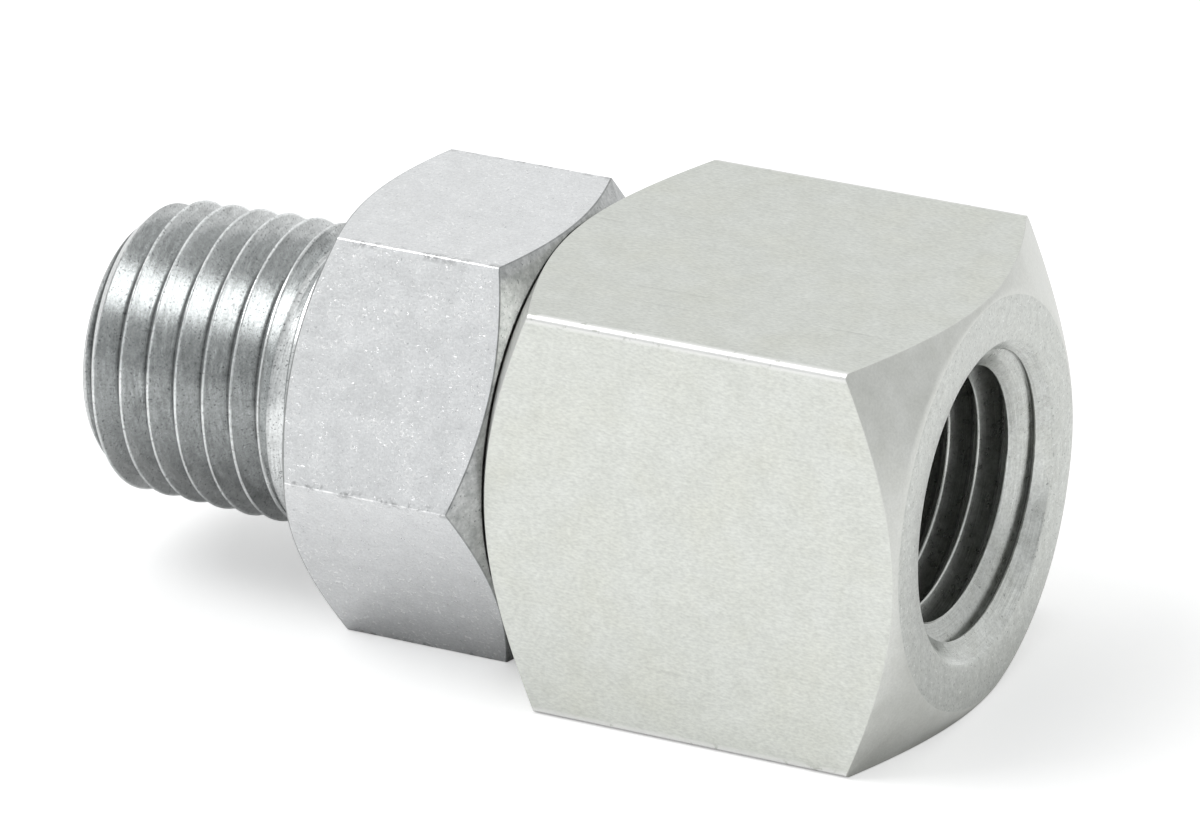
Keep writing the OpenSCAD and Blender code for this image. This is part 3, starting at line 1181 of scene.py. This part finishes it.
@dataclass
class HexStem:
    """The stem: hexagon, male pipe thread, and the shank with its race and seal groove."""

    columns: int = 288
    edge_steps: int = 2
    edge_r: float = 0.12
    hex_length: float = 9.79
    face_gap: float = 0.06
    chamfer_inset: float = 0.125
    chamfer_deg: float = 30.0
    pitch_r: float = 12.126 / 2
    blank_r: float = 13.716 / 2
    tip_r: float = 5.449
    neck_length: float = 0.5
    plain_length: float = 2.62
    first_root: float = 1.19
    flow_r: float = 3.175
    flow_lead: float = 0.4
    shank_r: float = 6.25
    race_clearance: float = 0.03
    gland_r: float = 4.95
    gland_land: float = 0.5
    seat_gap: float = 0.02
    edge_break: float = 0.02
    corner_break: float = 0.045
    neck_fillet: float = 0.15

    def hexagon_span(self) -> tuple[float, float]:
        """Gives the places of the hexagon's faces: the one beside the neck, then the other."""
        front_x = float(node_box("swivel_housing")[0][0]) - self.face_gap
        return front_x - self.hex_length, front_x

    def thread(self) -> PipeThread:
        """Gives the male thread, whose length runs from the tip to the neck."""
        tip_x = float(node_box("hex_stem")[0][0])
        male_length = self.hexagon_span()[0] - tip_x
        return PipeThread(
            side=Side.OUTSIDE,
            open_x=tip_x,
            pitch_r=self.pitch_r,
            wall_r=self.blank_r,
            entry_r=self.tip_r,
            length=male_length - self.neck_length,
            full_length=male_length - self.plain_length,
            first_root=self.first_root,
        )

    def shank(self, end_x: float) -> Line:
        """Gives the shank's section, from the race to the end that the seals sit on.

        Args:
            end_x: Place of the shank's end along the axis.

        Returns:
            Points of the section.
        """
        race = groove_arc(ball_race(self.race_clearance), self.shank_r, Side.OUTSIDE)[::-1]
        gland_back_x = float(node_box("backup_ring")[0][0]) - self.seat_gap
        gland_front_x = end_x - self.gland_land
        break_x = self.gland_land / 2
        return [
            *race,
            (gland_back_x, self.shank_r),
            (gland_back_x, self.gland_r),
            (gland_front_x, self.gland_r),
            (gland_front_x, self.shank_r),
            (end_x - break_x, self.shank_r),
            (end_x, self.shank_r - break_x),
            (end_x, self.flow_r + self.flow_lead),
            (end_x - self.flow_lead, self.flow_r),
        ]

    def build(self, finishes: Finishes) -> bpy.types.Object:
        """Builds and dresses the stem.

        Args:
            finishes: Materials by name.

        Returns:
            The finished piece.
        """
        low, high = node_box("hex_stem")
        tip_x, end_x, flat_r = float(low[0]), float(high[0]), float(high[2])
        hex_back_x, hex_front_x = self.hexagon_span()
        ring_r = flat_r - self.chamfer_inset
        slope = math.tan(math.radians(self.chamfer_deg))
        bar = BarOutline(6, flat_r, self.edge_r, 0.0)
        thread = self.thread()
        turning = Turning("hex_stem_dressed", bar.angles(self.columns, self.edge_steps))
        shank = [*self.shank(end_x), (tip_x + self.flow_lead, self.flow_r)]
        tip = [(tip_x, self.flow_r + self.flow_lead), (tip_x, self.tip_r - thread.start)]
        for angle in turning.angles:
            r = bar.radius(angle)
            drop = (r - ring_r) * slope
            male = thread.rows(angle)
            hexagon = eased(
                [
                    (tip_x + thread.length, self.blank_r, 0),
                    (hex_back_x, self.blank_r, self.neck_fillet),
                    (hex_back_x, ring_r, self.edge_break),
                    (hex_back_x + drop, r, self.corner_break),
                    (hex_front_x - drop, r, self.corner_break),
                    (hex_front_x, ring_r, self.edge_break),
                    (hex_front_x, self.shank_r, 0),
                ]
            )[1:]
            turning.add(
                [
                    (StemZone.CUT_THREAD, tip + male),
                    (StemZone.TURNED_NECK, hexagon[:3]),
                    (StemZone.HEXAGON_CHAMFER, hexagon[3:8]),
                    (StemZone.SOILED_EDGE, hexagon[8:11]),
                    (StemZone.BLASTED_HEXAGON, hexagon[11:12]),
                    (StemZone.SOILED_EDGE, hexagon[12:15]),
                    (StemZone.HEXAGON_CHAMFER, hexagon[15:]),
                    (StemZone.RUNNING_SURFACE, shank),
                ]
            )
        turning.mark_thread(len(tip), len(male), thread.points_per_turn)
        piece = turning.build(StemZone, finishes)
        settle_normals(piece, StemZone.CUT_THREAD)
        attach(piece, "stem")
        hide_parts("hex_stem")
        return piece


@dataclass
class InnerParts:
    """The bearing balls, seals and set screw, which keep their shape and get real finishes."""

    finish_of: dict[str, str] = field(
        default_factory=lambda: {
            "ball_port_plug": "black_oxide",
            "seal_o_ring": "nitrile",
            "dust_ring": "nitrile",
            "backup_ring": "ptfe",
        }
    )

    def dress(self, finishes: Finishes) -> int:
        """Gives each remaining node its finish.

        Args:
            finishes: Materials by name.

        Returns:
            How many nodes were dressed.
        """
        dressed = 0
        for name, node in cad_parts.items():
            finish = "ball_steel" if name.startswith("bearing_ball") else self.finish_of.get(name)
            if finish is None:
                continue
            node.data.materials.clear()
            node.data.materials.append(finishes[finish])
            dressed += 1
        return dressed


@dataclass
class Studio:
    """A white sweep, a soft overhead lamp and the camera at the photograph's angle.

    A glow is the light that the paper gives off by itself, where 1 is pure white.
    """

    lens_mm: float = 264.96
    sensor_mm: float = 36.0
    nearest_m: float = 0.01
    farthest_m: float = 20.0
    eye_mm: Triple = (140.292, -316.978, 162.52)
    right: Triple = (0.89627797, 0.44332378, -0.01224059)
    down: Triple = (0.17430011, -0.37749759, -0.90945866)
    ahead: Triple = (-0.40780544, 0.81299422, -0.41561415)
    aim_mm: Triple = (-21.0, 0.0, 0.0)
    floor_half_m: float = 3.0
    floor_gap_mm: float = 0.01
    paper: str = "#F4F4F4"
    bright_side: str = "#F1F2F2"
    dim_side: str = "#B9BBBC"
    towards_dim: Triple = (0.5, -0.6, -0.55)
    dim_band: tuple[float, float] = (-0.6, 1.0)
    contact_mm: float = 3.0
    contact_tone: float = 0.3
    contact_open: float = 0.7
    contact_samples: int = 8
    mirrored_contact_mm: float = 14.0
    mirrored_glow: float = 0.28
    seen_glow: float = 0.38
    unseen_strength: float = 0.8

    def camera(self) -> None:
        """Adds the camera."""
        data = bpy.data.cameras.new("camera")
        data.lens = self.lens_mm
        data.sensor_width = self.sensor_mm
        data.clip_start = self.nearest_m
        data.clip_end = self.farthest_m
        camera = bpy.data.objects.new("camera", data)
        right, down, ahead = (Vector(v) for v in (self.right, self.down, self.ahead))
        turn = Matrix((right, -down, -ahead)).transposed().to_4x4()
        camera.matrix_world = Matrix.Translation(Vector(self.eye_mm) * METRES) @ turn
        bpy.context.scene.collection.objects.link(camera)
        bpy.context.scene.camera = camera

    def floor(self, height_mm: float) -> None:
        """Adds the pale floor.

        Args:
            height_mm: Height of its surface.
        """
        s, z = self.floor_half_m, height_mm * METRES
        data = bpy.data.meshes.new("floor")
        data.from_pydata([(-s, -s, z), (s, -s, z), (s, s, z), (-s, s, z)], [], [(0, 1, 2, 3)])
        data.materials.append(self.white_paper())
        floor = bpy.data.objects.new("floor", data)
        bpy.context.scene.collection.objects.link(floor)

    def white_paper(self) -> bpy.types.Material:
        """Builds the floor's white paper.

        It is white to the eye, and in metal that mirrors it. Close to the fitting its
        mirror image is painted darker, a painted contact shadow where the fitting keeps the light off it.

        Returns:
            The finished material.
        """
        material = bpy.data.materials.new("white_paper")
        tree = cleared_tree(material)
        ray = add_node(tree, Node.RAY)
        rays = ray["Is Glossy Ray"], ray["Is Transmission Ray"]
        mirrored = add_node(tree, Node.MATH, *rays, operation="MAXIMUM")[0]
        reach = {"Distance": self.contact_mm * METRES}
        close = add_node(tree, Node.OPENNESS, named=reach, samples=self.contact_samples)["AO"]
        close = add_node(tree, Node.RANGE, close, 0.0, self.contact_open, self.contact_tone, 1.0)[0]
        close = add_node(tree, Node.MIX, mirrored, named={2: 1.0, 3: close}, data_type="FLOAT")[0]
        white = rgba(self.paper)[:3]
        tone = add_node(tree, Node.VECTOR, white, named={"Scale": close}, operation="SCALE")[0]
        paper = add_node(tree, Node.PAPER, named={"Color": tone})[0]
        reach = {"Distance": self.mirrored_contact_mm * METRES}
        open_sky = add_node(tree, Node.OPENNESS, named=reach, samples=self.contact_samples)["AO"]
        glow = add_node(tree, Node.MATH, mirrored, open_sky, operation="MULTIPLY")[0]
        glow = add_node(tree, Node.MATH, glow, self.mirrored_glow, operation="MULTIPLY")[0]
        seen = ray["Is Camera Ray"]
        glow = add_node(tree, Node.MATH, seen, self.seen_glow, glow, operation="MULTIPLY_ADD")[0]
        light = add_node(tree, Node.GLOW, named={"Color": rgba("#FFFFFF"), "Strength": glow})[0]
        both = add_node(tree, Node.BOTH, paper, light)[0]
        add_node(tree, Node.MATERIAL_END, named={"Surface": both})
        return material

    def world(self) -> None:
        """Makes the surroundings: near white behind, left and above, dimmer in front, right and low."""
        world = bpy.data.worlds.new("white_studio")
        bpy.context.scene.world = world
        tree = cleared_tree(world)
        ray = add_node(tree, Node.RAY)
        way = add_node(tree, Node.PLACE)["Generated"]
        dim = add_node(tree, Node.VECTOR, way, self.towards_dim, operation="DOT_PRODUCT")["Value"]
        dim = add_node(tree, Node.RANGE, dim, *self.dim_band)[0]
        pair = {6: rgba(self.bright_side), 7: rgba(self.dim_side)}
        colour = add_node(tree, Node.MIX, dim, named=pair, data_type="RGBA")[2]
        seen = ray["Is Camera Ray"]
        for mirror in ("Is Glossy Ray", "Is Transmission Ray"):
            seen = add_node(tree, Node.MATH, seen, ray[mirror], operation="MAXIMUM")[0]
        strength = add_node(tree, Node.RANGE, seen, 0.0, 1.0, self.unseen_strength, 1.0)[0]
        background = add_node(tree, Node.SURROUNDINGS, colour, strength)[0]
        add_node(tree, Node.WORLD_END, named={"Surface": background})

    def lamp(
        self, name: str, towards: Triple, distance: float, size: tuple[float, float], radiance: float
    ) -> None:
        """Adds one softbox that faces the fitting.

        Args:
            name: Name of the lamp.
            towards: Direction from the fitting to the lamp.
            distance: Distance from the fitting in metres.
            size: Width and height of the softbox in metres.
            radiance: Brightness of its face, where white paper in plain light is 1.
        """
        data = bpy.data.lights.new(name, "AREA")
        data.shape = "RECTANGLE"
        data.size, data.size_y = size
        data.energy = radiance * math.pi * size[0] * size[1]
        lamp = bpy.data.objects.new(name, data)
        way = Vector(towards).normalized()
        turn = way.to_track_quat("Z", "Y").to_matrix().to_4x4()
        lamp.matrix_world = Matrix.Translation(Vector(self.aim_mm) * METRES + way * distance) @ turn
        lamp.visible_camera = False
        bpy.context.scene.collection.objects.link(lamp)

    def build(self) -> None:
        """Builds the whole studio."""
        bpy.context.scene.view_settings.view_transform = "Standard"
        self.camera()
        self.floor(float(node_box("swivel_housing")[0][2]) - self.floor_gap_mm)
        self.world()
        self.lamp(
            "overhead_softbox",
            towards=(-0.48, -0.27, 0.83),
            distance=0.55,
            size=(0.28, 0.32),
            radiance=3.6,
        )


def finish_set(port: PipeThread, male: PipeThread) -> Finishes:
    """Builds every finish of the fitting.

    The grain of real plate and the feed of a real lathe tool are a few hundredths of a
    millimetre, too fine to show in the render. Grain, pits, glints and rings are drawn
    two to five times as coarse, at the sizes given here.

    Args:
        port: Thread of the housing's port.
        male: Thread of the stem.

    Returns:
        Materials by the name that the pieces ask for.
    """
    finishes = {
        # Cold drawn square bar under plate: a calm, warm grey-white with a soft grain along the bar,
        # a few dark scratches, and edges painted with a white line as wear and painted highlight.
        "drawn_bar": ZincPlate(
            "zinc_plate_on_drawn_bar", "#DEE0DB", "#D6D8D2", "#D8D8CA", 0.36, 0.03,
            grain_mm=0.1, grain_depth_mm=0.004, mottle_mm=1.4, grain_tone=0.11, grain_stretch=2.2,
            draw_tone=0.015, draw_depth_mm=0.0003, scratch=0.1,
            edges=EdgeWearAndHighlight(4, math.pi / 4, 0.3, "#F4F4F2", 0.9, 0.6, 0.94),
        ),
        # Chamfer turned on the square's corners: smoother than the bar, with faint rings about the axis.
        "turned_chamfer": ZincPlate(
            "zinc_plate_on_turned_chamfer", "#DADBD7", "#D0D1CC", "#D2D3CC", 0.34, 0.04,
            grain_mm=0.12, grain_depth_mm=0.003, mottle_mm=1.2, grain_tone=0.06,
            turning_mm=0.14, turning_depth_mm=0.0008, turning_tone=0.03,
        ),
        # Faced end of the housing: duller and cloudier, freckled with small grey pits.
        "faced_ring": ZincPlate(
            "zinc_plate_on_faced_ring", "#D5D7D3", "#BFC1BD", "#C6C7C1", 0.36, 0.05,
            grain_mm=0.14, grain_depth_mm=0.007, mottle_mm=0.42, grain_tone=0.12, pit_share=0.07,
            pit_mm=0.13, pit="#7C7E7C", turning_mm=0.1, turning_depth_mm=0.002,
            # A few glints on the ring, whitened as painted glints.
            sparkle_share=0.02, sparkle_mm=0.15, sparkle_depth_mm=0.012,
        ),
        # Port thread: light at the countersink and darker below it with painted shade deep down,
        # with streaks that the tap left, thin crests with painted highlights and roots with painted shade.
        "tapped_port": ZincPlate(
            "tapped_port_with_painted_shade", "#D8DAD7", "#C2C4C0", "#C3C4BC", 0.3, 0.05,
            grain_mm=0.12, grain_depth_mm=0.003, mottle_mm=0.5, grain_tone=0.14, pit_share=0.03,
            turning_mm=0.09, turning_depth_mm=0.002, turning_tone=0.25, turning_breaks=2.0,
            port_shade_depth_mm=1.6, port_shade_tone=0.86,
            thread=ThreadHighlightAndShade(port, 1.15, 0.35, mouth_mm=0.6),
        ),
        # Ground bore, shank and race: a bluish, even, fairly bright steel without plate.
        "running_surface": ZincPlate(
            "ground_running_surface", "#BEC1C2", "#AEB1B2", "#B4B6B4", 0.22, 0.04,
            grain_mm=0.1, grain_depth_mm=0.001, mottle_mm=1.2,
        ),
        # Blasted hexagon under plate: the coolest and whitest face, which glitters with tiny glints
        # in patches whitened as painted glints, with nicked edges painted bright as wear and painted
        # highlight, and painted shade that greys the underside.
        "blasted_hexagon": ZincPlate(
            "zinc_plate_on_blasted_hexagon", "#EDEEEF", "#E4E5E6", "#E3E4E4", 0.3, 0.03,
            grain_mm=0.12, grain_depth_mm=0.01, mottle_mm=1.0, grain_tone=0.09,
            sparkle_share=0.075, sparkle_mm=0.17, sparkle_depth_mm=0.016, pit_share=0.03,
            pit_mm=0.12, pit="#B4B6B8", painted_underside_shade=0.86,
            edges=EdgeWearAndHighlight(6, 0.0, 0.06, "#FFFFFF", 0.35, 0.3, 0.6),
        ),
        # Chamfers of the hexagon: a blotchy, pitted mid grey, duller than the flats.
        "hexagon_chamfer": ZincPlate(
            "zinc_plate_on_hexagon_chamfer", "#CDCECE", "#9EA0A0", "#AEAFAF", 0.34, 0.05,
            grain_mm=0.14, grain_depth_mm=0.008, mottle_mm=0.5, grain_tone=0.14,
            pit_share=0.06, pit_mm=0.13, pit="#6E7071", turning_mm=0.12, turning_depth_mm=0.001,
        ),
        # Burr along the hexagon's chamfer: a thin dark line of dirt.
        "soiled_edge": ZincPlate(
            "soiled_hexagon_edge", "#B2B4B4", "#8A8C8C", "#8E8F8D", 0.4, 0.05,
            grain_mm=0.14, grain_depth_mm=0.004, mottle_mm=0.5,
        ),
        # Neck turned smooth beside the hexagon: a light band, painted lighter in part as a painted
        # highlight, with a sharp highlight and painted shade on its underside.
        "turned_neck": ZincPlate(
            "zinc_plate_on_turned_neck", "#EBECEC", "#DDDEDE", "#DADBDA", 0.28, 0.04, painted_underside_shade=0.8,
            grain_mm=0.12, grain_depth_mm=0.002, mottle_mm=0.5, grain_tone=0.1, pit_share=0.03,
            pit_mm=0.1, pit="#7A7C7E", turning_mm=0.1, turning_depth_mm=0.0004, turning_tone=0.1,
        ),
        # Male thread cut by a die: the glossiest plate, streaked round and peppered with dark pits,
        # with painted highlights on the crests, painted shade in the roots and on the underside, and a
        # shallow last turn painted lighter.
        "cut_thread": ZincPlate(
            "zinc_plate_on_cut_thread", "#CFD1D1", "#C3C5C5", "#BEC0BF", 0.24, 0.04, painted_underside_shade=0.74,
            grain_mm=0.12, grain_depth_mm=0.0008, mottle_mm=0.4, grain_tone=0.16,
            pit_share=0.1, pit_mm=0.1, pit="#3E4144", turning_mm=0.08, turning_depth_mm=0.0004,
            turning_tone=0.34, turning_breaks=5.0,
            thread=ThreadHighlightAndShade(male, 1.5, 0.6, runout_mm=9.9, runout_tone=1.3),
        ),
        # Polished chrome steel: a clear mirror.
        "ball_steel": PlainFinish("polished_ball_steel", "#D2D4D6", "#C8CACC", 1.0, 0.08, 0.3, 0.0002),
        # Oiled black oxide on steel: near black with a soft sheen.
        "black_oxide": PlainFinish("black_oxide_steel", "#33343A", "#24252A", 1.0, 0.35, 0.12, 0.003),
        # Moulded nitrile rubber: dull black.
        "nitrile": PlainFinish("moulded_nitrile", "#232325", "#18181A", 0.0, 0.55, 0.15, 0.004, 1.52),
        # PTFE cut on a lathe: a waxy off-white.
        "ptfe": PlainFinish("cut_ptfe", "#EDEBE2", "#E2DFD4", 0.0, 0.42, 0.2, 0.003, 1.35),
    }
    return {name: finish.build() for name, finish in finishes.items()}


def main() -> None:
    """Builds the dressed fitting and its studio."""
    Studio().build()
    housing = SwivelHousing()
    stem = HexStem()
    finishes = finish_set(housing.thread(), stem.thread())
    for part in (housing, stem):
        piece = part.build(finishes)
        LOG.info("%s: %d faces", piece.name, len(piece.data.polygons))
    LOG.info("inner parts dressed: %d", InnerParts().dress(finishes))


if __name__ == "__main__":
    logging.basicConfig(level=logging.INFO, format="%(name)s: %(message)s")
    main()
